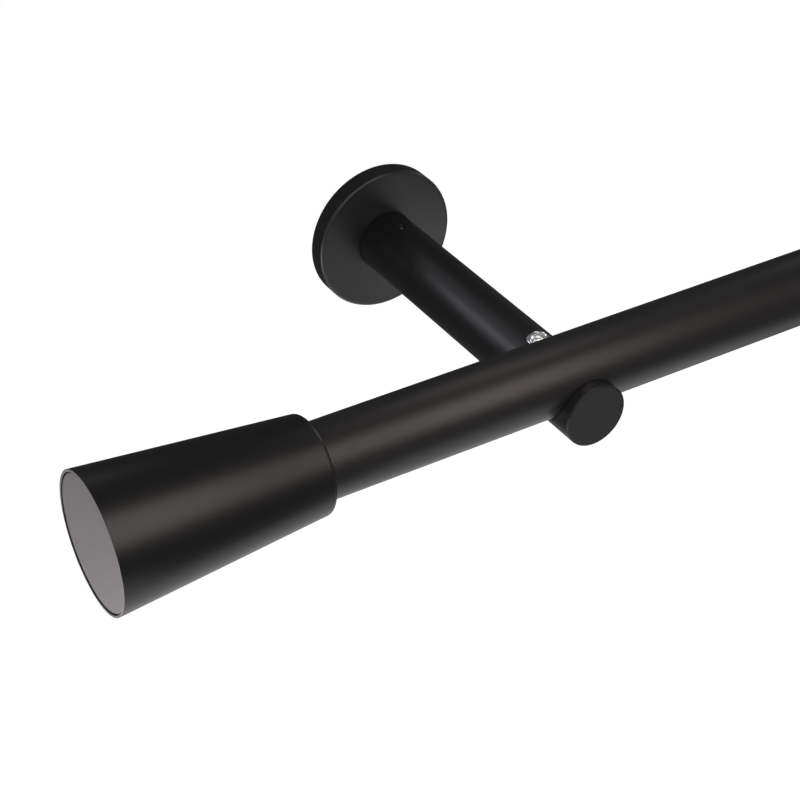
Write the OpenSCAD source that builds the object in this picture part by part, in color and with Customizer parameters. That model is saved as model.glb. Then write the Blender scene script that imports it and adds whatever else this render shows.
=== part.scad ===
// Curtain rod: a coated metal tube on two wall brackets, with a turned cone on each end.
// The wall is the plane y = 0 and the room is on its -Y side. +X runs along the rod, +Z is up.
// The origin is on the wall, midway between the brackets, at the height of their arms.
// Every left-hand piece is drawn in place, and the right-hand one is its mirror image.

/* [Rod] */
// Length of the tube
rod_l = 1000; // [600:50:2400]
// Outer diameter of the tube
rod_d = 28; // [25:0.5:30]
// Wall thickness of the tube
rod_wall = 1.2; // [0.8:0.1:2]

/* [Bracket arm] */
// Diameter of the round arm
arm_d = 25; // [24:0.5:30]
// Distance from the wall to the rod's centre line
projection = 135; // [100:1:200]
// Height of the rod's centre line above the arm's
rod_rise = 8.5; // [7:0.5:10]
// Thickness of the arm's nose in front of the rod
nose_t = 4.4; // [3:0.2:10]
// Radius of the arm's front edge
arm_round = 0.5; // [0.2:0.1:2]
// Distance from a bracket to the cone beside it
overhang = 105; // [60:1:200]

/* [Rosette] */
// Diameter of the cover cup on the wall
rosette_d = 61.5; // [58:0.5:80]
// Distance from the wall to the cup's front
rosette_h = 8; // [7:0.5:14]
// Thickness of the cup's wall
rosette_t = 1.6; // [1:0.1:2]
// Radius of the cup's front edge
rosette_round = 2.4; // [0.5:0.1:2.4]
// Wall of the collar that guides the cup on the arm
collar_t = 1.6; // [1:0.1:2]
// Length of that collar behind the cup's front wall
collar_l = 1.4; // [1:0.1:3]

/* [Wall fitting] */
// Diameter of the steel disc on the wall
disc_d = 52; // [50:0.5:54]
// Thickness of the disc
disc_t = 3; // [2.5:0.1:3.5]
// Distance between the two wall-screw holes in a disc
hole_span = 38; // [36:0.5:40]
// Diameter of the wall-screw holes
hole_d = 5.5; // [4:0.5:6]
// Diameter of the spigot that carries the arm
spigot_d = 12; // [10:0.5:13]
// Length of the spigot in front of its disc
spigot_l = 30; // [26:1:42]

/* [Screws] */
// Thread diameter of the screw that clamps the rod
clamp_d = 4; // [3:0.5:5]
// Diameter of its flanged pan head
clamp_head_d = 9; // [8:0.5:11]
// Height of that head
clamp_head_h = 2.8; // [2.4:0.1:3.5]
// Length of its thread
clamp_l = 12; // [8:1:14]
// Depth of the flat that it seats on below the arm's top
seat_depth = 0.7; // [0.4:0.1:1.5]
// Thread diameter of the set screw that locks the arm
set_d = 3; // [3:0.5:4]
// Distance from the wall to the set screw
set_y = 20.5; // [16:0.5:26]
// Depth of the set screw below the arm's top
set_depth = 1.2; // [0.5:0.1:2]
// Width across the flats of its hexagon socket
hex_w = 1.5; // [1.3:0.1:2]
// Thread diameter of the screws inside the cones and behind the discs
joining_d = 5; // [4:0.5:6]
// Thread length of the screw inside a cone
joining_l = 25; // [18:1:32]
// Depth of the tapped hole in a spigot
tap_l = 12; // [8:1:16]

/* [Finial] */
// Length of the cone
cone_l = 80; // [60:1:120]
// Diameter of the cone's inner end
cone_small_d = 36; // [34:0.5:42]
// Diameter of the cone's outer end
cone_large_d = 50; // [46:0.5:70]
// Radius of the rounded shoulder at the inner end
shoulder_r = 2; // [1:0.5:4]
// Wall thickness of the hollow cone
cone_wall = 2; // [1.8:0.1:3]
// Width of the bright rim round the end disc
rim_w = 1; // [0.6:0.1:2]
// Thickness of the cone's floor
floor_t = 7; // [5:0.5:10]
// Length of tube that the cone covers
cover_l = 5; // [3:0.5:12]
// Thickness of the end disc
inset_t = 2; // [1.5:0.1:3]
// Gap between the end disc and the rim
inset_gap = 0.5; // [0.3:0.1:1]
// Depth of the end disc below the rim
inset_depth = 0.4; // [0.1:0.1:1]
// Width of the ledge that the end disc rests on
ledge_w = 1.5; // [1:0.1:2]
// Length of the ring on the end disc's back
skirt_l = 6; // [4:0.5:10]
// Wall thickness of that ring
skirt_t = 1.5; // [1:0.1:2]
// Length of the plug that grips inside the tube
plug_l = 30; // [24:1:50]
// Length of the plug's solid collar at the cone
plug_collar_l = 7; // [5:0.5:9]
// Number of ribs round the plug
plug_ribs = 6; // [3:1:8]
// Height of the ribs
rib_h = 1.6; // [1:0.1:2]
// Width of the slots that let the plug spring
plug_slot = 1.6; // [1:0.2:2.4]

/* [Fits] */
// Clearance round a pin that slides or turns in its hole
run_gap = 0.05; // [0.02:0.01:0.1]
// Clearance round the rod in its saddle, its socket and the rosette's hole
slide_gap = 0.1; // [0.06:0.01:0.1]
// Gap between faces that only meet when the rod is fitted
face_gap = 0.3; // [0.2:0.05:0.4]
// Gap between the clamping screw's rim and the rod
grip_gap = 0.15; // [0.1:0.05:0.3]

/* [Hidden] */
$fn = 96;
black_coat = "#2b2b2c";
satin_grey = "#8c8988";
zinc = "#c9ccce";
black_plastic = "#1d1d1e";
past = 1; // how far a cut runs past the face that it opens

// Radii and places that several pieces share
rod_r = rod_d / 2;
arm_r = arm_d / 2;
saddle_r = rod_r + slide_gap;
bracket_x = rod_l / 2 - cover_l - overhang;
arm_start = disc_t + face_gap;
arm_end = projection + saddle_r + nose_t;
spigot_end = disc_t + spigot_l;
seat_z = arm_r - seat_depth;
clamp_head_r = clamp_head_d / 2;
// The head's rim stands against the rod's back at the height of its seat
clamp_y = projection - sqrt(rod_r * rod_r - pow(seat_z - rod_rise, 2)) - grip_gap - clamp_head_r;
socket_r = rod_r + slide_gap;
socket_l = cover_l + face_gap;
floor_z = socket_l + floor_t;
ledge_z = cone_l - inset_depth - inset_t;
skirt_seat_r = cone_large_d / 2 - rim_w - ledge_w;
skirt_seat_z = ledge_z - skirt_l - face_gap;

// Points on an arc about [cx, cy], from angle a0 to a1
function arc(cx, cy, r, a0, a1, steps = 8) =
    [for (i = [0 : steps]) let (a = a0 + (a1 - a0) * i / steps) [cx + r * cos(a), cy + r * sin(a)]];

// Radius of the cone's outside at a distance from its inner end
function cone_r(z) = cone_small_d / 2 + (cone_large_d - cone_small_d) / 2 * z / cone_l;

module at_bracket() {
    translate([-bracket_x, 0, 0]) children();
}

// Turns what is drawn upwards so that it points from the wall into the room
module from_wall() {
    at_bracket() rotate([90, 0, 0]) children();
}

// Turns what is drawn upwards so that it points out of the rod's left end
module at_rod_end() {
    translate([-rod_l / 2 + cover_l, -projection, rod_rise]) rotate([0, -90, 0]) children();
}

module right_hand() {
    mirror([1, 0, 0]) children();
}

// Tapered cross recess, cut down from z = 0
module cross_recess(width, depth) {
    for (turn = [0, 90])
        rotate([0, 0, turn]) rotate([90, 0, 0])
            linear_extrude(height = width * 0.24, center = true)
                polygon([[-width / 2, past], [-width / 2, 0], [-width * 0.2, -depth],
                         [width * 0.2, -depth], [width / 2, 0], [width / 2, past]]);
}

// Pan head that stands on z = 0: an upright rim, a rounded shoulder and a low crown
module pan_head(d, h) {
    rim_h = h * 0.5;
    crown_r = d * 0.34;
    difference() {
        rotate_extrude()
            polygon([[0, 0], [d / 2, 0], [d / 2, rim_h], [d * 0.47, h * 0.68], [d * 0.42, h * 0.82],
                     [crown_r, h * 0.92], [crown_r * 0.55, h * 0.98], [0, h]]);
        translate([0, 0, h]) cross_recess(d * 0.52, h * 0.6);
    }
}

// Smooth shank with a bevelled tip, drawn down from z = 0
module shank(d, l) {
    tip = d * 0.15;
    rotate_extrude()
        polygon([[0, 0], [d / 2, 0], [d / 2, -l + tip], [d / 2 - tip, -l], [0, -l]]);
}

module rod_tube() {
    color(black_coat)
        translate([0, -projection, rod_rise]) rotate([0, 90, 0])
            difference() {
                cylinder(h = rod_l, r = rod_r, center = true);
                cylinder(h = rod_l + 2 * past, r = rod_r - rod_wall, center = true);
            }
}

// The bar of the arm, with its rounded front edge
module arm_bar() {
    rotate_extrude()
        polygon(concat(
            [[0, arm_start], [arm_r, arm_start]],
            arc(arm_r - arm_round, arm_end - arm_round, arm_round, 0, 90),
            [[0, arm_end]]));
}

// The blind hole that takes the spigot: a lead-in, the bore and the drill's point
module spigot_bore() {
    bore_r = spigot_d / 2 + run_gap;
    bore_end = spigot_end + face_gap + past;
    lead = 0.8;
    rotate_extrude()
        polygon([[0, arm_start - past], [bore_r + lead + past, arm_start - past],
                 [bore_r, arm_start + lead], [bore_r, bore_end],
                 [0, bore_end + bore_r * 0.5]]);
}

// The open notch that the rod lies in, round below and upright above the rod's centre
module saddle() {
    translate([0, -projection, rod_rise]) rotate([90, 0, 90])
        linear_extrude(height = arm_d + 2 * past, center = true) {
            circle(r = saddle_r);
            translate([-saddle_r, 0]) square([2 * saddle_r, arm_d]);
        }
}

module bracket_arm() {
    color(black_coat)
        difference() {
            from_wall() arm_bar();
            from_wall() spigot_bore();
            at_bracket() {
                saddle();
                translate([0, -clamp_y, 0]) {
                    translate([0, 0, seat_z]) cylinder(h = arm_d, r = clamp_head_r + face_gap);
                    translate([0, 0, seat_z - clamp_l - past])
                        cylinder(h = clamp_l + 2 * past, r = clamp_d / 2 + run_gap);
                }
                translate([0, -set_y, 0]) cylinder(h = arm_d, r = set_d / 2 + run_gap);
            }
        }
}

module clamp_screw() {
    color(zinc)
        at_bracket() translate([0, -clamp_y, seat_z + slide_gap]) {
            pan_head(clamp_head_d, clamp_head_h);
            shank(clamp_d, clamp_l);
        }
}

module set_screw() {
    tip_z = spigot_d / 2 + face_gap;
    top_z = arm_r - set_depth;
    tip_l = set_d / 4;
    socket = set_d * 0.6;
    color(zinc)
        at_bracket() translate([0, -set_y, 0])
            difference() {
                rotate_extrude()
                    polygon([[0, tip_z], [set_d / 4, tip_z], [set_d / 2, tip_z + tip_l],
                             [set_d / 2, top_z], [0, top_z]]);
                translate([0, 0, top_z - socket])
                    cylinder(h = socket + past, d = hex_w / cos(30), $fn = 6);
            }
}

module rosette() {
    outer_r = rosette_d / 2;
    inner_r = outer_r - rosette_t;
    hole_r = arm_r + slide_gap;
    collar_r = hole_r + collar_t;
    front = rosette_h - rosette_t;
    color(black_coat)
        from_wall() rotate_extrude()
            polygon(concat(
                [[inner_r, 0], [outer_r, 0]],
                arc(outer_r - rosette_round, rosette_h - rosette_round, rosette_round, 0, 90),
                [[hole_r, rosette_h], [hole_r, front - collar_l], [collar_r, front - collar_l],
                 [collar_r, front], [inner_r, front]]));
}

module wall_disc() {
    bevel = 0.5;
    hole_r = joining_d / 2 + slide_gap;
    sink_r = joining_d * 0.95;
    sink_l = sink_r - hole_r;
    color(zinc)
        from_wall() difference() {
            rotate_extrude()
                polygon([[hole_r, sink_l], [sink_r, 0], [disc_d / 2, 0], [disc_d / 2, disc_t - bevel],
                         [disc_d / 2 - bevel, disc_t], [hole_r, disc_t]]);
            for (side = [-1, 1])
                translate([0, side * hole_span / 2, -past]) cylinder(h = disc_t + 2 * past, d = hole_d);
        }
}

// Turned pin with a shallow groove for the set screw and a tapped hole from behind
module spigot() {
    r = spigot_d / 2;
    tip = 1;
    groove = 0.5;
    groove_w = set_d;
    thread_r = joining_d / 2;
    color(zinc)
        from_wall() rotate_extrude()
            polygon([[thread_r, disc_t], [r, disc_t], [r, set_y - groove_w / 2 - groove],
                     [r - groove, set_y - groove_w / 2], [r - groove, set_y + groove_w / 2],
                     [r, set_y + groove_w / 2 + groove], [r, spigot_end - tip], [r - tip, spigot_end],
                     [0, spigot_end], [0, disc_t + tap_l + thread_r], [thread_r, disc_t + tap_l]]);
}

// Countersunk screw that holds the spigot to its disc from behind
module spigot_screw() {
    r = joining_d / 2 - run_gap;
    head_r = joining_d * 0.9;
    sunk = 0.2;
    spare = 2;
    screw_end = disc_t + tap_l - spare;
    color(zinc)
        from_wall() difference() {
            rotate_extrude()
                polygon([[0, sunk], [head_r, sunk], [r, sunk + head_r - r],
                         [r, screw_end - r / 2], [r / 2, screw_end], [0, screw_end]]);
            translate([0, 0, sunk]) rotate([180, 0, 0]) cross_recess(joining_d, joining_d * 0.32);
        }
}

// Hollow turned cone: a socket for the tube, a floor, and a ledge for the end disc
module finial_cone() {
    slope = atan((cone_large_d - cone_small_d) / 2 / cone_l);
    // Centre of the shoulder's arc, which touches the inner end and the cone's side
    arc_r = cone_r(shoulder_r) - shoulder_r / cos(slope);
    hole_r = joining_d / 2 + slide_gap;
    rim_r = cone_large_d / 2 - rim_w;
    color(black_coat)
        at_rod_end() rotate_extrude()
            polygon(concat(
                [[socket_r, 0]],
                arc(arc_r, shoulder_r, shoulder_r, -90, -slope),
                [[cone_large_d / 2, cone_l], [rim_r, cone_l], [rim_r, ledge_z], [skirt_seat_r, ledge_z],
                 [skirt_seat_r, skirt_seat_z], [cone_r(skirt_seat_z) - cone_wall, skirt_seat_z],
                 [cone_r(floor_z) - cone_wall, floor_z], [hole_r, floor_z], [hole_r, socket_l],
                 [socket_r, socket_l]]));
}

// Satin disc that closes the cone, with a ring behind it that grips the cone's bore
module finial_disc() {
    bevel = 0.2;
    face_z = ledge_z + inset_t;
    edge_r = cone_large_d / 2 - rim_w - inset_gap;
    skirt_r = skirt_seat_r - run_gap;
    color(satin_grey)
        at_rod_end() rotate_extrude()
            polygon([[0, ledge_z], [skirt_r - skirt_t, ledge_z], [skirt_r - skirt_t, ledge_z - skirt_l],
                     [skirt_r, ledge_z - skirt_l], [skirt_r, ledge_z], [edge_r, ledge_z],
                     [edge_r, face_z - bevel], [edge_r - bevel, face_z], [0, face_z]]);
}

// Springy plug inside the tube: saw-tooth ribs round a core that is slotted from its free end
module finial_plug() {
    rib_r = rod_r - rod_wall - run_gap;
    core_r = rib_r - rib_h;
    pitch = (plug_l - plug_collar_l) / plug_ribs;
    free_z = socket_l - plug_l;
    color(black_plastic)
        at_rod_end() difference() {
            rotate_extrude()
                polygon(concat(
                    [[0, free_z], [core_r, free_z]],
                    [for (i = [0 : plug_ribs - 1]) let (z = free_z + i * pitch)
                        each [[core_r, z + pitch * 0.1], [rib_r, z + pitch * 0.7], [rib_r, z + pitch * 0.9],
                              [core_r, z + pitch * 0.9]]],
                    [[core_r, socket_l - plug_collar_l], [rib_r, socket_l - plug_collar_l], [rib_r, socket_l],
                     [0, socket_l]]));
            translate([0, 0, free_z - past]) cylinder(h = plug_l + 2 * past, d = joining_d);
            for (turn = [0, 90])
                rotate([0, 0, turn])
                    translate([-plug_slot / 2, -rod_d, free_z - past])
                        cube([plug_slot, 2 * rod_d, plug_l - plug_collar_l - pitch + past]);
        }
}

// Screw that draws the plug against the cone's floor
module finial_screw() {
    head_d = joining_d * 1.9;
    head_h = joining_d * 0.7;
    color(zinc)
        at_rod_end() translate([0, 0, floor_z]) {
            pan_head(head_d, head_h);
            shank(joining_d - 2 * run_gap, joining_l);
        }
}

rod_tube();
bracket_arm();  // left_bracket_arm
right_hand() bracket_arm();  // right_bracket_arm
clamp_screw();  // left_clamp_screw
right_hand() clamp_screw();  // right_clamp_screw
set_screw();  // left_set_screw
right_hand() set_screw();  // right_set_screw
rosette();  // left_rosette
right_hand() rosette();  // right_rosette
wall_disc();  // left_wall_disc
right_hand() wall_disc();  // right_wall_disc
spigot();  // left_spigot
right_hand() spigot();  // right_spigot
spigot_screw();  // left_spigot_screw
right_hand() spigot_screw();  // right_spigot_screw
finial_cone();  // left_finial_cone
right_hand() finial_cone();  // right_finial_cone
finial_disc();  // left_finial_disc
right_hand() finial_disc();  // right_finial_disc
finial_plug();  // left_finial_plug
right_hand() finial_plug();  // right_finial_plug
finial_screw();  // left_finial_screw
right_hand() finial_screw();  // right_finial_screw
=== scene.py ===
import bpy
import numpy as np
from bpy.props import FloatProperty, FloatVectorProperty, PointerProperty
from math import cos, pi, radians, sin
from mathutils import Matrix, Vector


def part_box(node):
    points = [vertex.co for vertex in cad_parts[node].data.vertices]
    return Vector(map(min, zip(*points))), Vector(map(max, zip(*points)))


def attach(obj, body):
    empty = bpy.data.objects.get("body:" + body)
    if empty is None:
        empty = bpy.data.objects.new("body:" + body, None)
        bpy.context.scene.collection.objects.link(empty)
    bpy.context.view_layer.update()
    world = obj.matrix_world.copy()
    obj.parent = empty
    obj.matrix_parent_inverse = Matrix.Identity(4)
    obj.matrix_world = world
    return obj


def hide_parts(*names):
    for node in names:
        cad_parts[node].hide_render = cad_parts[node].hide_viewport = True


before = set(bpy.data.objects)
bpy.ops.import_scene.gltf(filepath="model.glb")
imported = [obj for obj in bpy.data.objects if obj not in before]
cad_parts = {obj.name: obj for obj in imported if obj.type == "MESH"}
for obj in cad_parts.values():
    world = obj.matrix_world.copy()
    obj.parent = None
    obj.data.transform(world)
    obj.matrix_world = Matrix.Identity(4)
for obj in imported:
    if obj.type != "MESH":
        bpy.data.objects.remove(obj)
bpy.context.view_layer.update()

bl_info = {
    "name": "Curtain Rod",
    "version": (1, 0, 0),
    "blender": (4, 5, 0),
    "location": "View3D > Sidebar > Curtain Rod",
    "description": "Black coated curtain rod on two saddle brackets, with a turned cone on each end",
    "category": "Object",
}

# Lengths are metres. The wall is the plane y = 0, the room is on its -Y side, and +X runs along the rod.
MM = 0.001
SIDES = ("left", "right")
# Steps round a turned surface
TURNS = 192


def box_of(node):
    """The lowest and the highest corner of a solid, as two arrays."""
    low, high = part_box(node)
    return np.array(low), np.array(high)


# Places and sizes that the pieces take from the solids
ROD_LOW, ROD_HIGH = box_of("rod_tube")
ARM_LOW, ARM_HIGH = box_of("left_bracket_arm")
CONE_LOW, CONE_HIGH = box_of("left_finial_cone")
DISC_LOW, DISC_HIGH = box_of("left_finial_disc")
CUP_LOW, CUP_HIGH = box_of("left_rosette")
CLAMP_LOW, CLAMP_HIGH = box_of("left_clamp_screw")
SET_LOW, SET_HIGH = box_of("left_set_screw")
ROD_Y = (ROD_LOW[1] + ROD_HIGH[1]) / 2
ROD_Z = (ROD_LOW[2] + ROD_HIGH[2]) / 2
BRACKET_X = (ARM_LOW[0] + ARM_HIGH[0]) / 2
ARM_R = (ARM_HIGH[0] - ARM_LOW[0]) / 2
CLAMP_Y = (CLAMP_LOW[1] + CLAMP_HIGH[1]) / 2
SET_Y = (SET_LOW[1] + SET_HIGH[1]) / 2
# The cone's length and outer radius, and how far the disc's face stands from the cone's inner end
CONE_LONG = CONE_HIGH[0] - CONE_LOW[0]
CONE_R = (CONE_HIGH[2] - CONE_LOW[2]) / 2
DISC_FACE = CONE_HIGH[0] - DISC_LOW[0]


def linear(text):
    """An sRGB hex colour as linear red, green, blue and alpha."""
    srgb = np.array([int(text[i:i + 2], 16) / 255 for i in (1, 3, 5)])
    value = np.where(srgb <= 0.04045, srgb / 12.92, ((srgb + 0.055) / 1.055) ** 2.4)
    return (*(float(v) for v in value), 1.0)


def length(name, description, default, low=0.0, high=3.0):
    """A length setting, in metres."""
    return FloatProperty(name=name, description=description, default=float(default), min=low, max=high,
                         subtype="DISTANCE", unit="LENGTH")


def tint(name, description, default):
    """A colour setting, from an sRGB hex colour."""
    return FloatVectorProperty(name=name, description=description, default=linear(default), size=4,
                               min=0.0, max=1.0, subtype="COLOR")


def angle(name, description, degrees):
    """An angle setting, from degrees."""
    return FloatProperty(name=name, description=description, default=radians(degrees), subtype="ANGLE",
                         unit="ROTATION")


def amount(name, description, default, high=20.0):
    """A plain number setting, from nothing to high."""
    return FloatProperty(name=name, description=description, default=default, min=0.0, max=high)


class FinishSettings(bpy.types.PropertyGroup):
    """Colours and textures of the finishes."""
    rod_coat: tint("Rod coat", "Satin black powder coat on the tube", "#151414")
    cone_coat: tint("Cone coat", "Satin black powder coat on the cones", "#0b0b0b")
    bracket_coat: tint("Bracket coat", "Matt black powder coat on the arms and the rosettes", "#121213")
    lacquer: tint("Disc lacquer", "Satin grey lacquer on the end discs", "#888486")
    zinc: tint("Zinc", "Bright zinc plating on the screws", "#eef0f2")
    steel: tint("Turned steel", "Thinner zinc plating on the turned wall fittings", "#b4b7ba")
    plastic: tint("Plug plastic", "Moulded black polyamide of the plugs", "#1a1a1b")
    peel: length("Orange peel", "Distance between the soft waves of a coat", 1.8 * MM, 0.2 * MM, 10 * MM)
    patch: length("Patches", "Size of the patches in a coat's gloss", 30 * MM, 5 * MM)
    grain: length("Grain", "Size of the finest speckle on a finish", 0.5 * MM, 0.05 * MM, 5 * MM)
    rings: length("Tool rings", "Distance between the rings on turned steel", 0.4 * MM, 0.05 * MM, 5 * MM)


class TubeSettings(bpy.types.PropertyGroup):
    """Sizes of the tube."""
    wall: length("Wall", "Thickness of the tube's wall", 1.2 * MM)
    edge: length("Edge", "Width of the bevel on the tube's cut ends", 0.15 * MM)


class FinialSettings(bpy.types.PropertyGroup):
    """Sizes of the turned cone and its end disc."""
    small_radius: length("Inner radius", "Radius of the cone's inner end", 18 * MM)
    shoulder: length("Shoulder", "Radius of the rounded shoulder at the inner end", 2 * MM)
    wall: length("Wall", "Wall thickness of the hollow cone", 2 * MM)
    rim: length("Rim", "Width of the rim round the end disc", 1 * MM)
    edge: length("Edge", "Radius that breaks the rim's edges", 0.2 * MM)
    socket: length("Socket", "Depth of the socket for the tube", 5.3 * MM)
    socket_radius: length("Socket radius", "Radius of that socket", 14.1 * MM)
    mouth: length("Mouth", "Width of the bevel at the socket's mouth", 0.3 * MM)
    floor: length("Floor", "Thickness of the cone's floor", 7 * MM)
    hole: length("Screw hole", "Radius of the hole in the floor", 2.6 * MM)
    ledge: length("Ledge", "Width of the ledge under the end disc", 1.5 * MM)
    skirt: length("Skirt", "Length of the ring behind the end disc", 6 * MM)
    skirt_wall: length("Skirt wall", "Thickness of that ring", 1.5 * MM)
    skirt_end: length("Skirt end", "Room behind that ring", 0.3 * MM)
    play: length("Play", "Room round that ring", 0.05 * MM)
    disc: length("Disc", "Thickness of the end disc", 2 * MM)
    disc_edge: length("Disc edge", "Radius of the end disc's front edge", 0.3 * MM)
    disc_extra: length("Disc extra", "How far the end disc reaches into the solids' gap round it", 0.2 * MM)


class RosetteSettings(bpy.types.PropertyGroup):
    """Sizes of the cover cup on the wall."""
    wall: length("Wall", "Thickness of the cup's wall", 1.6 * MM)
    edge: length("Front edge", "Radius of the cup's front edge", 1.4 * MM)
    back_edge: length("Back edge", "Width of the bevel at the cup's back", 0.2 * MM)
    collar: length("Collar", "Length of the collar behind the front wall", 1.4 * MM)
    gap: length("Gap", "Clearance round the arm", 0.1 * MM)
    hole_edge: length("Hole edge", "Width of the bevel round the hole for the arm", 0.05 * MM)


class ClampScrewSettings(bpy.types.PropertyGroup):
    """Sizes of the screw that clamps the rod."""
    head_height: length("Head height", "Height of the head", 2.8 * MM)
    rim: length("Rim", "Thickness of the head's flange", 0.55 * MM)
    dome: amount("Dome", "Width of the dome as a share of the flange", 0.76, 1.0)
    recess: length("Recess", "Width of the cross recess", 4.7 * MM)
    thread: length("Thread", "Outer diameter of the thread", 4 * MM)
    pitch: length("Pitch", "Distance between the turns of the thread", 0.7 * MM)
    taper: length("Taper", "Length of the cone at the tip", 0.6 * MM)


class SetScrewSettings(bpy.types.PropertyGroup):
    """Sizes of the small socket screw near the wall."""
    hexagon: length("Hexagon", "Width across the flats of the socket", 1.5 * MM)
    socket: length("Socket", "Depth of the socket", 1.8 * MM)
    pitch: length("Pitch", "Distance between the turns of the thread", 0.5 * MM)
    depth: length("Depth", "Depth of the thread", 0.25 * MM)
    bevel: length("Bevel", "Width of the bevel at the top", 0.3 * MM)
    cup: length("Cup", "Depth of the cupped tip", 0.3 * MM)


class StudioSettings(bpy.types.PropertyGroup):
    """Lights, background and camera. Each light is a pair, one at each half of the rod."""
    key: amount("Key light", "Radiance of the softboxes in front of the rod", 4.05)
    cone: amount("Cone light", "Radiance of the softboxes in front of the cones", 3.35)
    middle: amount("Middle light", "Radiance of the softboxes near the middle of the rod", 1.2)
    rear: amount("Rear light", "Radiance of the softboxes behind the brackets", 5.8)
    high: amount("High light", "Radiance of the softboxes above and behind the brackets", 1.4)
    top: amount("Top light", "Radiance of the cards above the rod", 1.6)
    cup: amount("Rosette light", "Radiance of the small cards in front of the rosettes", 1.7)
    end: amount("End light", "Radiance of the cards below the end discs", 6.2)
    side: amount("Side light", "Radiance of the large softboxes beyond the ends", 1.0)
    cone_flag: amount("Cone flag", "Radiance of the dark cards in front of the cones", 0.18)
    roof_flag: amount("Roof flag", "Radiance of the dark panels above the rosettes", 0.13)
    floor_drop: length("Floor drop", "Depth of the floor below the rod", 0.75, 0.1)
    floor_glow: amount("Floor glow", "Radiance that the floor adds for the camera", 0.8, 1.0)
    floor_in_gloss: amount("Floor in gloss", "Share of that glow that reflections show", 0.85, 1.0)
    ceiling: amount("Ceiling", "Radiance of the ceiling", 0.14, 1.0)
    white_below: angle("White below", "Height above the horizon up to which the world is white", 14)
    dim_above: angle("Dim above", "Height above the horizon from which it is the dim ceiling", 26)
    lens: FloatProperty(name="Lens", description="Focal length on a 36 mm sensor", default=78.96, min=10.0,
                        max=300.0)
    pitch: angle("Pitch", "How far the camera looks down", 35.4144)
    yaw: angle("Yaw", "How far the camera turns from +Y to +X", 31.3548)
    place: FloatVectorProperty(name="Place", description="Where the camera stands", size=3,
                               default=(-0.71303, -0.54921, 0.36692), subtype="TRANSLATION", unit="LENGTH")


class SurroundSettings(bpy.types.PropertyGroup):
    """The bowl of black cloth that reflections see."""
    centre: FloatVectorProperty(name="Centre", description="Middle of the bowl", size=2,
                                default=(-0.35, -0.1), subtype="XYZ", unit="LENGTH")
    behind: length("Behind", "Radius of the inner edge on the wall's side", 0.55)
    ahead: length("Ahead", "How much further out the inner edge is on the room's side", 0.9)
    outer: length("Outer", "Radius of the outer edge", 2.8, 0.1, 10.0)
    lift: length("Lift", "Height of the inner edge above the floor", 0.01)
    top: length("Top", "Height of the outer edge above the rod", 3.0, 0.1, 10.0)
    bright: amount("Bright", "Radiance of the cloth on the room's side", 0.16, 1.0)
    dark: amount("Dark", "Radiance of the cloth on the wall's side", 0.05, 1.0)


# Surfaces

def wrap(radius, height):
    """Grid of points round the Z axis from a radius for each row and angle and a height for each row.

    At an angle t the point is (radius cos t, radius sin t, height). The angle runs round once.
    """
    t = np.linspace(0, 2 * pi, radius.shape[1], endpoint=False)
    return np.stack([radius * np.cos(t), radius * np.sin(t), height * np.ones_like(radius)], axis=-1)


def spin(profile):
    """Grid of a profile that is carried round the Z axis, from its heights and radii."""
    return wrap(profile[:, 1:] * np.ones(TURNS), profile[:, :1])


def revolve(profile, close=False):
    """Surface of revolution about the Z axis.

    A point (height, radius) of the profile and an angle t give (radius cos t, radius sin t, height).
    With close the profile's ends meet too, as on a ring. An end on the axis becomes one pole vertex. The
    profile runs anticlockwise in the plane of radius and height, seen with the radius to the right, which
    turns the faces outwards.
    """
    return grid_mesh(spin(profile), close)


def grid_mesh(grid, close=False):
    """Vertices and faces of a grid that closes on itself along its second axis.

    A first or last row that has shrunk to a point is left with one vertex. With close the last row joins
    the first.
    """
    rows, turns = grid.shape[:2]
    index = np.arange(rows * turns).reshape(rows, turns)
    for row in (0, rows - 1):
        if not close and np.ptp(grid[row], axis=0).max() < 1e-9:
            index[row] = index[row, 0]
    if close:
        index = np.vstack([index, index[:1]])
    index = np.hstack([index, index[:, :1]])
    corners = [index[:-1, :-1], index[:-1, 1:], index[1:, 1:], index[1:, :-1]]
    quads = np.stack(corners, axis=-1).reshape(-1, 4)
    used, new = np.unique(quads, return_inverse=True)
    quads = new.reshape(quads.shape)
    low = quads[:, 0] == quads[:, 1]
    high = quads[:, 2] == quads[:, 3]
    faces = quads[~low & ~high].tolist() + quads[low][:, [0, 2, 3]].tolist() + quads[high][:, :3].tolist()
    return grid.reshape(-1, 3)[used], faces


def arc(centre_z, centre_r, radius, start, end, steps=8):
    """Profile points on a circle about (height, radius), from one angle to the other.

    At angle 0 the point lies straight out from the axis, and at 90 degrees it lies straight up.
    """
    a = np.radians(np.linspace(start, end, steps + 1))
    return np.stack([centre_z + radius * np.sin(a), centre_r + radius * np.cos(a)], axis=-1)


def joined(*parts):
    """Several profile pieces, points or arcs, as one array."""
    return np.vstack([np.atleast_2d(part) for part in parts])


def lie_along_rod(verts, end_x):
    """Turns a piece drawn upwards so that it points out of the rod's left end, and moves it there."""
    x, y, z = verts.T
    return np.stack([end_x - z, ROD_Y + y, ROD_Z + x], axis=-1)


def stand_from_wall(verts):
    """Turns a piece drawn upwards so that it points from the wall into the room, at the left bracket."""
    x, y, z = verts.T
    return np.stack([BRACKET_X + x, -z, y], axis=-1)


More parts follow.
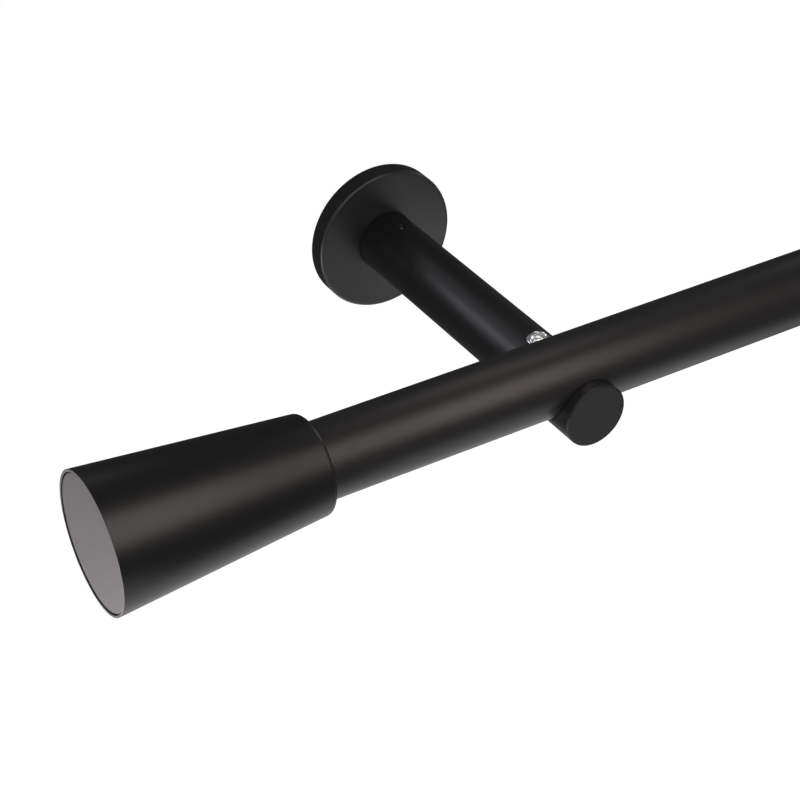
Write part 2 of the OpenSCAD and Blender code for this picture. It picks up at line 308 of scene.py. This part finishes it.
def put(name, verts, faces, material, node, body, side="left", smooth=35):
    """Makes a piece from its left-hand vertices and lets it stand for a solid.

    The right-hand piece is the mirror image in x, with its faces turned round so that they still point out.
    Edges sharper than smooth, in degrees, stay sharp.
    """
    if side == "right":
        verts = verts * [-1, 1, 1]
        faces = [face[::-1] for face in faces]
    mesh = bpy.data.meshes.new(name)
    mesh.from_pydata(verts, [], faces)
    mesh.validate()
    mesh.shade_smooth()
    mesh.set_sharp_from_angle(angle=radians(smooth))
    mesh.materials.append(material)
    piece = bpy.data.objects.new(name, mesh)
    bpy.context.scene.collection.objects.link(piece)
    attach(piece, body)
    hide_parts(node)
    return piece


def put_pair(name, verts, faces, material, node, body, smooth=35):
    """The left-hand piece and its mirror image, each for the solid and on the body of its own side."""
    return [put(f"{side}_{name}", verts, faces, material, f"{side}_{node}", f"{side}_{body}", side, smooth)
            for side in SIDES]


# Materials

def add(tree, kind, inputs=None, **settings):
    """Adds a node with its settings. Each input named is linked to a socket or given a value."""
    node = tree.nodes.new(kind)
    for key, value in settings.items():
        setattr(node, key, value)
    for key, value in (inputs or {}).items():
        if isinstance(value, bpy.types.NodeSocket):
            tree.links.new(value, node.inputs[key])
        else:
            node.inputs[key].default_value = value
    return node


def make_material(name, recipe, *values):
    """The material of that name. The first time, the recipe adds its nodes and hands back its shader."""
    material = bpy.data.materials.get(name)
    if not material:
        material = bpy.data.materials.new(name)
        material.use_nodes = True
        tree = material.node_tree
        tree.nodes.clear()
        shader = recipe(tree, *values)
        add(tree, "ShaderNodeOutputMaterial", {"Surface": shader.outputs[0]})
    return material


def shade_of(colour, factor):
    """The colour made lighter or darker by a factor."""
    return (*(min(1.0, c * factor) for c in colour[:3]), 1.0)


def powder_coat(tree, colour, roughness, edge, ior):
    """Thermosetting polyester powder, sprayed and baked.

    It gives the eye a soft black with broad highlights that break up in the faint waves of its orange
    peel, a fine speckle in the gloss, and corners that the coat has rounded by edge. The waves are drawn
    1.8 mm apart, as on a real coat, and the speckle 0.5 mm, coarser than real, so that it shows.
    """
    finish = bpy.context.scene.rod_finish
    place = add(tree, "ShaderNodeTexCoord").outputs["Object"]
    peel = add(tree, "ShaderNodeTexNoise", {"Vector": place, "Scale": 1 / finish.peel})
    patch = add(tree, "ShaderNodeTexNoise", {"Vector": place, "Scale": 1 / finish.patch})
    speckle = add(tree, "ShaderNodeTexNoise", {"Vector": place, "Scale": 1 / finish.grain, "Detail": 3})
    tone = add(tree, "ShaderNodeMix", {"Factor": speckle.outputs["Fac"], "A": shade_of(colour, 0.85),
                                       "B": shade_of(colour, 1.15)}, data_type="RGBA")
    gloss = add(tree, "ShaderNodeMath", {0: speckle.outputs["Fac"], 1: patch.outputs["Fac"]}, operation="ADD")
    rough = add(tree, "ShaderNodeMapRange", {"Value": gloss.outputs[0], "From Min": 0.6, "From Max": 1.4,
                                             "To Min": roughness - 0.015, "To Max": roughness + 0.015})
    corner = add(tree, "ShaderNodeBevel", {"Radius": edge}, samples=4)
    waves = add(tree, "ShaderNodeBump", {"Height": peel.outputs["Fac"], "Normal": corner.outputs["Normal"],
                                         "Distance": 0.006 * MM})
    return add(tree, "ShaderNodeBsdfPrincipled", {
        "Base Color": tone.outputs[2], "Roughness": rough.outputs[0], "Normal": waves.outputs["Normal"],
        "IOR": ior})


def satin_lacquer(tree, colour):
    """Grey lacquer with fine metal flakes on a turned disc.

    It gives the eye a plain pale grey that takes up the floor's light, with a fine glitter in it. The
    flakes are drawn 0.5 mm wide, coarser than real, so that they show.
    """
    finish = bpy.context.scene.rod_finish
    place = add(tree, "ShaderNodeTexCoord").outputs["Object"]
    flakes = add(tree, "ShaderNodeTexVoronoi", {"Vector": place, "Scale": 1 / finish.grain})
    speckle = add(tree, "ShaderNodeTexNoise", {"Vector": place, "Scale": 1 / finish.grain})
    peel = add(tree, "ShaderNodeTexNoise", {"Vector": place, "Scale": 1 / finish.peel})
    tone = add(tree, "ShaderNodeMix", {"Factor": flakes.outputs["Color"], "A": shade_of(colour, 0.95),
                                       "B": shade_of(colour, 1.05)}, data_type="RGBA")
    rough = add(tree, "ShaderNodeMapRange", {"Value": speckle.outputs["Fac"], "To Min": 0.38, "To Max": 0.52})
    waves = add(tree, "ShaderNodeBump", {"Height": peel.outputs["Fac"], "Distance": 0.002 * MM})
    return add(tree, "ShaderNodeBsdfPrincipled", {
        "Base Color": tone.outputs[2], "Roughness": rough.outputs[0], "Normal": waves.outputs["Normal"],
        "Metallic": 0.35})


def zinc_plating(tree, colour, roughness, turned):
    """Bright zinc, plated and passivated on cold-headed or turned steel.

    It gives the eye a silvery mirror, softened by fine pits 0.5 mm wide, coarser than real, and on turned
    pieces by the tool's rings, which are drawn 0.4 mm apart: a sine of the distance from the wall.
    """
    finish = bpy.context.scene.rod_finish
    place = add(tree, "ShaderNodeTexCoord").outputs["Object"]
    pits = add(tree, "ShaderNodeTexNoise", {"Vector": place, "Scale": 1 / finish.grain, "Detail": 3})
    height = pits.outputs["Fac"]
    tone = add(tree, "ShaderNodeMix", {"Factor": height, "A": shade_of(colour, 0.92),
                                       "B": shade_of(colour, 1.06)}, data_type="RGBA")
    rough = add(tree, "ShaderNodeMapRange", {"Value": height, "To Min": roughness - 0.06,
                                             "To Max": roughness + 0.06})
    if turned:
        split = add(tree, "ShaderNodeSeparateXYZ", {"Vector": place})
        phase = add(tree, "ShaderNodeMath", {0: split.outputs["Y"], 1: 2 * pi / finish.rings},
                    operation="MULTIPLY")
        rings = add(tree, "ShaderNodeMath", {0: phase.outputs[0]}, operation="SINE")
        height = add(tree, "ShaderNodeMath", {0: rings.outputs[0], 1: height}, operation="ADD").outputs[0]
    corner = add(tree, "ShaderNodeBevel", {"Radius": 0.15 * MM}, samples=4)
    bump = add(tree, "ShaderNodeBump", {"Height": height, "Normal": corner.outputs["Normal"],
                                        "Distance": 0.003 * MM})
    return add(tree, "ShaderNodeBsdfPrincipled", {
        "Base Color": tone.outputs[2], "Roughness": rough.outputs[0], "Normal": bump.outputs["Normal"],
        "Metallic": 0.85})


def moulded_plastic(tree, colour):
    """Polyamide, injection moulded in a spark-eroded tool.

    It gives the eye a dull black with a fine even grain, drawn 0.5 mm wide.
    """
    finish = bpy.context.scene.rod_finish
    place = add(tree, "ShaderNodeTexCoord").outputs["Object"]
    grain = add(tree, "ShaderNodeTexNoise", {"Vector": place, "Scale": 1 / finish.grain, "Detail": 4})
    tone = add(tree, "ShaderNodeMix", {"Factor": grain.outputs["Fac"], "A": shade_of(colour, 0.8),
                                       "B": shade_of(colour, 1.3)}, data_type="RGBA")
    rough = add(tree, "ShaderNodeMapRange", {"Value": grain.outputs["Fac"], "To Min": 0.48, "To Max": 0.62})
    corner = add(tree, "ShaderNodeBevel", {"Radius": 0.15 * MM}, samples=4)
    bump = add(tree, "ShaderNodeBump", {"Height": grain.outputs["Fac"], "Normal": corner.outputs["Normal"],
                                        "Distance": 0.02 * MM})
    return add(tree, "ShaderNodeBsdfPrincipled", {
        "Base Color": tone.outputs[2], "Roughness": rough.outputs[0], "Normal": bump.outputs["Normal"],
        "IOR": 1.53})


def rod_coat():
    """Tube: a warm black whose satin sheen draws each light out into a soft band."""
    return make_material("satin_black_powder_coat", powder_coat, bpy.context.scene.rod_finish.rod_coat,
                         0.41, 0.2 * MM, 1.5)


def cone_coat():
    """Cones: a deeper black with a slightly sharper sheen, so that the bands stand out."""
    return make_material("deep_black_powder_coat", powder_coat, bpy.context.scene.rod_finish.cone_coat,
                         0.38, 0.2 * MM, 1.43)


def arm_coat():
    """Arms: a cooler and flatter black, with the edges of the nose and the saddle softened."""
    return make_material("matt_black_powder_coat", powder_coat, bpy.context.scene.rod_finish.bracket_coat,
                         0.42, 0.9 * MM, 1.4)


def cup_coat():
    """Rosettes: the arms' colour on pressed steel, with more sheen, so that the rounded edge shines."""
    return make_material("matt_black_coat_on_pressed_steel", powder_coat,
                         bpy.context.scene.rod_finish.bracket_coat, 0.42, 0.25 * MM, 1.52)


def disc_lacquer():
    """End discs and the bare rims round them: an even satin grey."""
    return make_material("satin_grey_lacquer", satin_lacquer, bpy.context.scene.rod_finish.lacquer)


def bright_zinc():
    """Screws: a sparkling silver."""
    return make_material("bright_zinc_plating", zinc_plating, bpy.context.scene.rod_finish.zinc, 0.24, False)


def turned_zinc():
    """Wall discs and spigots: a duller grey, with fine rings."""
    return make_material("zinc_plated_turned_steel", zinc_plating, bpy.context.scene.rod_finish.steel,
                         0.32, True)


def plug_plastic():
    """Finial plugs: a dull grainy black."""
    return make_material("moulded_polyamide", moulded_plastic, bpy.context.scene.rod_finish.plastic)


def paint(material, *nodes):
    """Gives solids of both sides their finish."""
    for side in SIDES:
        for node in nodes:
            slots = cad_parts[f"{side}_{node}"].data.materials
            slots.clear()
            slots.append(material)


# Pieces

class ROD_OT_tube(bpy.types.Operator):
    """Draws the tube, with its cut edges just broken"""
    bl_idname = "rod.tube"
    bl_label = "Rod tube"

    def execute(self, context):
        s = context.scene.rod_tube
        half = (ROD_HIGH[0] - ROD_LOW[0]) / 2
        outer = (ROD_HIGH[2] - ROD_LOW[2]) / 2
        inner = outer - s.wall
        profile = joined(
            (-half, inner + s.edge), (-half, outer - s.edge), (-half + s.edge, outer), (half - s.edge, outer),
            (half, outer - s.edge), (half, inner + s.edge), (half - s.edge, inner), (-half + s.edge, inner))
        verts, faces = revolve(profile, close=True)
        put("rod_tube_surface", lie_along_rod(verts, 0), faces, rod_coat(), "rod_tube", "rod")
        return {"FINISHED"}


class ROD_OT_cones(bpy.types.Operator):
    """Draws the hollow cone on each end: socket, floor, rounded shoulder, taper and rim"""
    bl_idname = "rod.cones"
    bl_label = "Finial cones"

    def execute(self, context):
        s = context.scene.rod_finial
        rise = (CONE_R - s.small_radius) / CONE_LONG
        slope = np.degrees(np.arctan(rise))

        def side(z):
            """The cone's outer radius at a distance from its inner end."""
            return s.small_radius + rise * z

        rim_r = CONE_R - s.rim
        ledge_z = DISC_FACE - s.disc
        seat_r = rim_r - s.ledge
        seat_z = ledge_z - s.skirt - s.skirt_end
        floor_z = s.socket + s.floor
        shoulder_r = side(s.shoulder) - s.shoulder / cos(radians(slope))
        profile = joined(
            (s.socket, s.socket_radius), (s.mouth, s.socket_radius), (0, s.socket_radius + s.mouth),
            arc(s.shoulder, shoulder_r, s.shoulder, -90, -slope, 24),
            arc(CONE_LONG - s.edge, CONE_R - s.edge, s.edge, -slope, 90, 6),
            arc(CONE_LONG - s.edge, rim_r + s.edge, s.edge, 90, 180, 6),
            (ledge_z, rim_r), (ledge_z, seat_r), (seat_z, seat_r), (seat_z, side(seat_z) - s.wall),
            (floor_z, side(floor_z) - s.wall), (floor_z, s.hole), (s.socket, s.hole))
        verts, faces = revolve(profile, close=True)
        verts = lie_along_rod(verts, CONE_HIGH[0])
        for cone in put_pair("cone_surface", verts, faces, cone_coat(), "finial_cone", "finial"):
            self.bare_rim(cone.data, rim_r)
        return {"FINISHED"}

    def bare_rim(self, mesh, rim_r, depth=0.03 * MM):
        """Gives the rim's flat face the disc's lacquer: the faces within depth of the end and past rim_r."""
        mesh.materials.append(disc_lacquer())
        centre = np.empty(len(mesh.polygons) * 3)
        mesh.polygons.foreach_get("center", centre)
        x, y, z = centre.reshape(-1, 3).T
        on_rim = (np.abs(x) > np.abs(x).max() - depth) & (np.hypot(y - ROD_Y, z - ROD_Z) > rim_r)
        mesh.polygons.foreach_set("material_index", on_rim.astype(np.int32))


class ROD_OT_discs(bpy.types.Operator):
    """Draws the end disc of each cone, with a rounded edge and its ring behind"""
    bl_idname = "rod.discs"
    bl_label = "Finial discs"

    def execute(self, context):
        s = context.scene.rod_finial
        radius = (DISC_HIGH[2] - DISC_LOW[2]) / 2 + s.disc_extra
        back = DISC_FACE - s.disc
        skirt = CONE_R - s.rim - s.ledge - s.play
        profile = joined(
            (back, 0), (back, skirt - s.skirt_wall), (back - s.skirt, skirt - s.skirt_wall),
            (back - s.skirt, skirt), (back, skirt), (back, radius),
            arc(DISC_FACE - s.disc_edge, radius - s.disc_edge, s.disc_edge, 0, 90), (DISC_FACE, 0))
        verts, faces = revolve(profile)
        verts = lie_along_rod(verts, CONE_HIGH[0])
        put_pair("disc_surface", verts, faces, disc_lacquer(), "finial_disc", "finial")
        return {"FINISHED"}


class ROD_OT_rosettes(bpy.types.Operator):
    """Draws the cover cup of each bracket, with its rounded front edge and its collar"""
    bl_idname = "rod.rosettes"
    bl_label = "Rosettes"

    def execute(self, context):
        s = context.scene.rod_rosette
        outer = (CUP_HIGH[2] - CUP_LOW[2]) / 2
        height = CUP_HIGH[1] - CUP_LOW[1]
        inner = outer - s.wall
        hole = ARM_R + s.gap
        front = height - s.wall
        profile = joined(
            (0, inner), (0, outer - s.back_edge), (s.back_edge, outer),
            arc(height - s.edge, outer - s.edge, s.edge, 0, 90, 16),
            (height, hole + s.hole_edge), (height - s.hole_edge, hole), (front - s.collar, hole),
            (front - s.collar, hole + s.wall), (front, hole + s.wall), (front, inner))
        verts, faces = revolve(profile, close=True)
        put_pair("rosette_surface", stand_from_wall(verts), faces, cup_coat(), "rosette", "rosette")
        return {"FINISHED"}


class ROD_OT_arms(bpy.types.Operator):
    """Coats the bracket arms"""
    bl_idname = "rod.arms"
    bl_label = "Bracket arms"

    def execute(self, context):
        paint(arm_coat(), "bracket_arm")
        return {"FINISHED"}


class ROD_OT_clamp_screws(bpy.types.Operator):
    """Draws the screw that clamps the rod: flanged pan head, cross recess and thread"""
    bl_idname = "rod.clamp_screws"
    bl_label = "Clamp screws"

    def execute(self, context):
        s = context.scene.rod_clamp_screw
        radius = (CLAMP_HIGH[0] - CLAMP_LOW[0]) / 2
        seat = CLAMP_HIGH[2] - s.head_height
        verts, faces = grid_mesh(np.concatenate([self.thread(s, seat - CLAMP_LOW[2]), self.head(s, radius)]))
        verts = verts + [BRACKET_X, CLAMP_Y, seat]
        put_pair("clamp_screw_surface", verts, faces, bright_zinc(), "clamp_screw", "clamp_screw", 30)
        return {"FINISHED"}

    def head(self, s, radius, dome_rows=48, cut_rows=20, crown_rows=70):
        """Pan head over a flange, as a grid of radius and angle, from the flange's underside out and up.

        The flange's rim is an arc, and the dome starts at 1.1 times its thickness. As t goes from 0 to a
        quarter turn, the dome's height grows with sin t to the power 0.9 and its radius shrinks with cos t
        to the power 0.75. Its last rows are cut off, and a parabola with closer rows makes the crown. The
        recess takes away, at each point, the larger of two crossed slots.
        """
        rim, top = s.rim, s.head_height
        foot = 1.1 * rim
        flange = arc(rim / 2, radius - rim / 2, rim / 2, -90, 75, 12)
        t = np.linspace(0, pi / 2, dome_rows)
        height = foot + (top - foot) * np.sin(t) ** 0.9
        dome = np.stack([height, radius * s.dome * np.cos(t) ** 0.75], axis=-1)
        inner = np.linspace(dome[-cut_rows, 1], 0, crown_rows)
        dome = dome[:-cut_rows]
        last_z, last_r = dome[-1]
        crown = np.stack([top - (top - last_z) * (inner / last_r) ** 2, inner], axis=-1)
        profile = joined(flange, dome, crown)
        grid = spin(profile)
        x, y = grid[..., 0], grid[..., 1]
        above_rim = profile[:, :1] > rim
        grid[..., 2] -= above_rim * np.maximum(self.slot(s, x, y), self.slot(s, y, x))
        return grid

    def slot(self, s, along, across):
        """Depth of one slot of the cross recess at each point.

        It is 0.6 of the head's height. It falls to nothing at the slot's ends, over 0.16 of the recess's
        width, and at its walls, 0.1 of that width from the middle, over 0.12 mm.
        """
        reach = np.clip((s.recess / 2 - np.abs(along)) / (0.16 * s.recess), 0, 1)
        wall = np.clip((0.1 * s.recess - np.abs(across)) / (0.12 * MM), 0, 1)
        return 0.6 * s.head_height * reach * wall

    def thread(self, s, long, rows=160):
        """Helical thread, as a grid of height and angle, from the pole at its tip to the head.

        The radius falls from the crest by the thread's depth, 0.6 of the pitch, times a triangle wave of
        height over pitch less the angle over a full turn. The wave fades within one pitch of each end, and
        the tip narrows to 0.65 of its radius over the taper.
        """
        z = np.linspace(-long, 0, rows)[:, None]
        phase = (z / s.pitch - np.arange(TURNS) / TURNS) % 1
        fade = np.clip((z + long) / s.pitch, 0, 1) * np.clip(-z / s.pitch, 0, 1)
        tip = 0.65 + 0.35 * np.clip((z + long) / s.taper, 0, 1)
        radius = (s.thread / 2 - 0.6 * s.pitch * np.abs(2 * phase - 1) * fade) * tip
        return wrap(np.vstack([np.zeros(TURNS), radius]), np.vstack([[-long], z]))


class ROD_OT_set_screws(bpy.types.Operator):
    """Draws the small socket screw near the wall: hexagon socket, thread and cupped tip"""
    bl_idname = "rod.set_screws"
    bl_label = "Set screws"

    def execute(self, context):
        verts, faces = grid_mesh(self.body(context.scene.rod_set_screw))
        verts = verts + [BRACKET_X, SET_Y, 0]
        put_pair("set_screw_surface", verts, faces, bright_zinc(), "set_screw", "set_screw", 30)
        return {"FINISHED"}

    def body(self, s, turns=96, rows=60):
        """Thread between a cupped tip and a bevelled top with a hexagon socket, as a grid of row and angle.

        The thread's radius falls by its depth times a triangle wave of height over pitch less the angle
        over a full turn, which fades towards both ends with a sine to the power 0.3. The socket's radius
        at each angle is that of a hexagon: half its width over the cosine of the angle from the nearest
        flat.
        """
        radius = (SET_HIGH[0] - SET_LOW[0]) / 2
        low, high = SET_LOW[2], SET_HIGH[2]
        turn = np.linspace(0, 2 * pi, turns, endpoint=False)
        hexagon = s.hexagon / 2 / np.cos((turn + pi / 6) % (pi / 3) - pi / 6)
        z = np.linspace(low + s.pitch, high - s.bevel, rows)
        phase = (z[:, None] / s.pitch - turn / (2 * pi)) % 1
        fade = np.sin(np.linspace(0, pi, rows))[:, None] ** 0.3
        thread = radius - s.depth * np.abs(2 * phase - 1) * fade
        edge = 0.1 * MM
        bottom = high - s.socket
        tip = [(low + s.cup, 0), (low, 0.4 * radius), (low, 0.5 * radius)]
        top = [(high, radius - s.bevel), (high, hexagon + edge), (high - edge, hexagon), (bottom, hexagon),
               (bottom - 0.3 * MM, 0)]
        heights = [h for h, _ in tip] + list(z) + [h for h, _ in top]
        radii = [r * np.ones(turns) for _, r in tip] + [thread] + [r * np.ones(turns) for _, r in top]
        return wrap(np.vstack(radii), np.array(heights)[:, None])


class ROD_OT_hidden(bpy.types.Operator):
    """Finishes the pieces that show only when the rod is apart: wall fittings, plugs and their screws"""
    bl_idname = "rod.hidden"
    bl_label = "Wall fittings and plugs"

    def execute(self, context):
        paint(turned_zinc(), "wall_disc", "spigot")
        paint(bright_zinc(), "spigot_screw", "finial_screw")
        paint(plug_plastic(), "finial_plug")
        return {"FINISHED"}


# Studio

def glow(tree, colour, strength):
    """A plain emission of one colour."""
    return add(tree, "ShaderNodeEmission", {"Color": linear(colour), "Strength": strength})


def white_paper(tree, strength, in_gloss):
    """White paper that keeps the shadow, with a glow of its own for the camera.

    It gives the eye a background that is white up to the edges. Reflections and glass see a share of it.
    """
    paper = add(tree, "ShaderNodeBsdfDiffuse", {"Color": linear("#e6e6e6")})
    path = add(tree, "ShaderNodeLightPath")
    mirrored = add(tree, "ShaderNodeMath", {0: path.outputs["Is Glossy Ray"],
                                            1: path.outputs["Is Transmission Ray"]}, operation="MAXIMUM")
    dimmed = add(tree, "ShaderNodeMath", {0: mirrored.outputs[0], 1: in_gloss}, operation="MULTIPLY")
    seen = add(tree, "ShaderNodeMath", {0: path.outputs["Is Camera Ray"], 1: dimmed.outputs[0]},
               operation="MAXIMUM")
    light = add(tree, "ShaderNodeEmission", {"Color": (strength, strength, strength, 1),
                                             "Strength": seen.outputs[0]})
    return add(tree, "ShaderNodeAddShader", {0: paper.outputs[0], 1: light.outputs[0]})


def black_cloth(tree, bright, dark):
    """Black cloth, as an emission that falls from bright on the room's side to dark on the wall's side.

    The fall runs from 1.5 m out in the room to 0.5 m past the wall. In reflections it gives the eye a
    black that is never quite empty.
    """
    place = add(tree, "ShaderNodeTexCoord").outputs["Object"]
    split = add(tree, "ShaderNodeSeparateXYZ", {"Vector": place})
    shade = add(tree, "ShaderNodeMapRange", {"Value": split.outputs["Y"], "From Min": -1.5, "From Max": 0.5,
                                             "To Min": bright, "To Max": dark})
    return add(tree, "ShaderNodeEmission", {"Strength": shade.outputs[0]})


def stage_piece(name, verts, faces, material):
    """A piece of the stage, which isn't part of the object."""
    mesh = bpy.data.meshes.new(name)
    mesh.from_pydata(verts, [], faces)
    mesh.shade_smooth()
    mesh.materials.append(material)
    piece = bpy.data.objects.new(name, mesh)
    bpy.context.scene.collection.objects.link(piece)
    return piece


def direction(azimuth, elevation):
    """Unit vector at an azimuth from +Y towards +X and an elevation, both in degrees."""
    a, e = radians(azimuth), radians(elevation)
    return np.array([sin(a) * cos(e), cos(a) * cos(e), sin(e)])


def on_rod(x):
    """The point on the rod's centre line at x."""
    return (x, ROD_Y, ROD_Z)


def softbox(name, target, azimuth, elevation, distance, size, colour, strength, shade=False):
    """A pair of glowing rectangles, one at each half of the rod, that only the object sees.

    The left one stands at an azimuth, an elevation and a distance from its target and faces it. The right
    one is its mirror image. The size is its width and height. With shade it keeps light off the object.
    """
    out = direction(azimuth, elevation)
    centre = np.array(target) + distance * out
    right = direction(azimuth - 90, 0)
    up = np.cross(out, right)
    corners = np.array([centre + a * right * size[0] / 2 + b * up * size[1] / 2
                        for a, b in ((-1, -1), (1, -1), (1, 1), (-1, 1))])
    material = make_material(name, glow, colour, strength)
    for side, flip in zip(SIDES, (1, -1)):
        panel = stage_piece(f"{side}_{name}", corners * [flip, 1, 1], [(0, 1, 2, 3)], material)
        panel.visible_camera = False
        panel.visible_shadow = shade


class ROD_OT_studio(bpy.types.Operator):
    """Sets up the floor, the dark surround, the lights, the world and the camera"""
    bl_idname = "rod.studio"
    bl_label = "Studio"

    def execute(self, context):
        s = context.scene.rod_studio
        self.floor(s)
        self.surround(context.scene.rod_surround, s.floor_drop)
        self.front_lights(s)
        self.back_lights(s)
        self.end_lights(s)
        self.world(s)
        self.camera(s)
        context.scene.view_settings.view_transform = "Standard"
        return {"FINISHED"}

    def front_lights(self, s):
        """Lights in front of the rod, above it and beside it."""
        # Warm band along the upper front of the tube, brightest between the cone and the arm
        softbox("key_softbox", on_rod(BRACKET_X + 69 * MM), 180, 45, 0.22, (0.092, 0.185), "#fff2ed", s.key)
        # The same band along the cone
        softbox("cone_softbox", on_rod(CONE_HIGH[0] - 8 * MM), 180, 45, 0.22, (0.15, 0.185), "#fff2ed",
                s.cone)
        # Dark card that cuts the cone's band off from the bright strip along its lower side
        softbox("cone_flag", on_rod(CONE_HIGH[0]), 180, -18, 0.08, (0.1, 0.085), "#ffffff", s.cone_flag)
        # Faint second line along the top of the tube, towards the wall
        softbox("top_card", on_rod(BRACKET_X - 50 * MM), 58, 53, 0.17, (0.1, 0.038), "#fff6f0", s.top)
        # Weaker band on the tube between the brackets
        softbox("middle_softbox", on_rod(-60 * MM), 180, 45, 0.15, (0.12, 0.12), "#fff2ed", s.middle)

    def back_lights(self, s):
        """Lights on the wall's side, for the arms and the rosettes."""
        bracket = (BRACKET_X, -100 * MM, 0)
        # Cool line along the upper side of each arm
        softbox("rear_softbox", bracket, -40, 28, 0.7, (0.26, 0.26), "#f1efff", s.rear)
        # Soft sheen along the top of the arms
        softbox("high_softbox", bracket, -14, 46, 0.7, (0.26, 0.2), "#f6f4ff", s.high)
        # Dark panel over each rosette, which ends that line before the arm reaches the wall
        softbox("roof_flag", (BRACKET_X - 35 * MM, 30 * MM, 48 * MM), 180, 90, 0, (0.12, 0.076), "#ffffff",
                s.roof_flag, shade=True)
        # Glow on each rosette's flat front, on the side towards the middle of the rod
        softbox("cup_card", (BRACKET_X + 30 * MM, CUP_LOW[1], -2 * MM), 148.6, -35.4, 0.1, (0.048, 0.048),
                "#ffffff", s.cup)

    def end_lights(self, s):
        """Lights beyond the ends of the rod."""
        # Even glow on the grey discs, from below
        softbox("end_card", on_rod(CONE_LOW[0]), 270, -50, 0.25, (0.2, 0.2), "#fffafa", s.end)
        # Large and dim, for the edges that face the ends
        softbox("side_softbox", on_rod(BRACKET_X - 40 * MM), 262, 20, 1.6, (1.0, 1.0), "#ffffff", s.side)

    def floor(self, s, far=30.0):
        """White floor, far below the rod and out of sight at its edges."""
        z = -s.floor_drop
        corners = [(-far, -far, z), (far, -far, z), (far, far, z), (-far, far, z)]
        material = make_material("white_paper_floor", white_paper, s.floor_glow, s.floor_in_gloss)
        stage_piece("floor", corners, [(0, 1, 2, 3)], material)

    def surround(self, s, floor_drop):
        """Black cloth round the table, as a bowl that only reflections see.

        At azimuth t and rise v the radius grows in proportion to v from the cloth's inner edge to its outer
        edge, and the height with the square of v. The inner edge is further out ahead than behind, by the
        fourth power of half of one less the cosine of t.
        """
        t = np.linspace(0, 2 * pi, 96, endpoint=False)[None, :]
        v = np.linspace(0, 1, 24)[:, None]
        inner = s.behind + s.ahead * (0.5 - 0.5 * np.cos(t)) ** 4
        r = inner + (s.outer - inner) * v
        z = s.lift - floor_drop + (floor_drop + s.top) * v ** 2 + 0 * t
        grid = np.stack([s.centre[0] + r * np.sin(t), s.centre[1] + r * np.cos(t), z], axis=-1)
        verts, faces = grid_mesh(grid)
        material = make_material("black_cloth", black_cloth, s.bright, s.dark)
        cloth = stage_piece("black_surround", verts, faces, material)
        cloth.visible_camera = False
        cloth.visible_diffuse = False
        cloth.visible_transmission = False
        cloth.visible_shadow = False

    def world(self, s):
        """White up to the height where a level view ends, and a dim ceiling above."""
        world = bpy.data.worlds.new("studio")
        world.use_nodes = True
        bpy.context.scene.world = world
        tree = world.node_tree
        tree.nodes.clear()
        place = add(tree, "ShaderNodeTexCoord").outputs["Generated"]
        split = add(tree, "ShaderNodeSeparateXYZ", {"Vector": place})
        shade = add(tree, "ShaderNodeMapRange", {
            "Value": split.outputs["Z"], "From Min": sin(s.white_below), "From Max": sin(s.dim_above),
            "To Min": 1.0, "To Max": s.ceiling}, interpolation_type="SMOOTHSTEP")
        light = add(tree, "ShaderNodeBackground", {"Color": linear("#ffffff"), "Strength": shade.outputs[0]})
        add(tree, "ShaderNodeOutputWorld", {"Surface": light.outputs[0]})

    def camera(self, s):
        """The camera, at the place and angle from which the rod is seen."""
        data = bpy.data.cameras.new("camera")
        data.lens = s.lens
        data.sensor_width = 36
        data.clip_start = 0.01
        camera = bpy.data.objects.new("camera", data)
        camera.location = s.place
        camera.rotation_euler = (pi / 2 - s.pitch, 0, -s.yaw)
        bpy.context.scene.collection.objects.link(camera)
        bpy.context.scene.camera = camera


OPERATORS = (ROD_OT_tube, ROD_OT_cones, ROD_OT_discs, ROD_OT_rosettes, ROD_OT_arms, ROD_OT_clamp_screws,
             ROD_OT_set_screws, ROD_OT_hidden, ROD_OT_studio)
GROUPS = {"rod_finish": FinishSettings, "rod_tube": TubeSettings, "rod_finial": FinialSettings,
          "rod_rosette": RosetteSettings, "rod_clamp_screw": ClampScrewSettings,
          "rod_set_screw": SetScrewSettings, "rod_studio": StudioSettings, "rod_surround": SurroundSettings}


class ROD_PT_panel(bpy.types.Panel):
    """Lists the pieces and the stage, with their settings"""
    bl_idname = "ROD_PT_panel"
    bl_label = "Curtain Rod"
    bl_space_type = "VIEW_3D"
    bl_region_type = "UI"
    bl_category = "Curtain Rod"

    def draw(self, context):
        for operator in OPERATORS:
            self.layout.operator(operator.bl_idname)
        for key, group in GROUPS.items():
            column = self.layout.column(align=True)
            for name in group.__annotations__:
                column.prop(getattr(context.scene, key), name)


def register():
    for group in GROUPS.values():
        bpy.utils.register_class(group)
    for operator in OPERATORS:
        bpy.utils.register_class(operator)
    bpy.utils.register_class(ROD_PT_panel)
    for key, group in GROUPS.items():
        setattr(bpy.types.Scene, key, PointerProperty(type=group))


def unregister():
    for key in GROUPS:
        delattr(bpy.types.Scene, key)
    bpy.utils.unregister_class(ROD_PT_panel)
    for operator in reversed(OPERATORS):
        bpy.utils.unregister_class(operator)
    for group in GROUPS.values():
        bpy.utils.unregister_class(group)


def main():
    register()
    bpy.ops.rod.tube()
    bpy.ops.rod.cones()
    bpy.ops.rod.discs()
    bpy.ops.rod.rosettes()
    bpy.ops.rod.arms()
    bpy.ops.rod.clamp_screws()
    bpy.ops.rod.set_screws()
    bpy.ops.rod.hidden()
    bpy.ops.rod.studio()


if __name__ == "__main__":
    main()
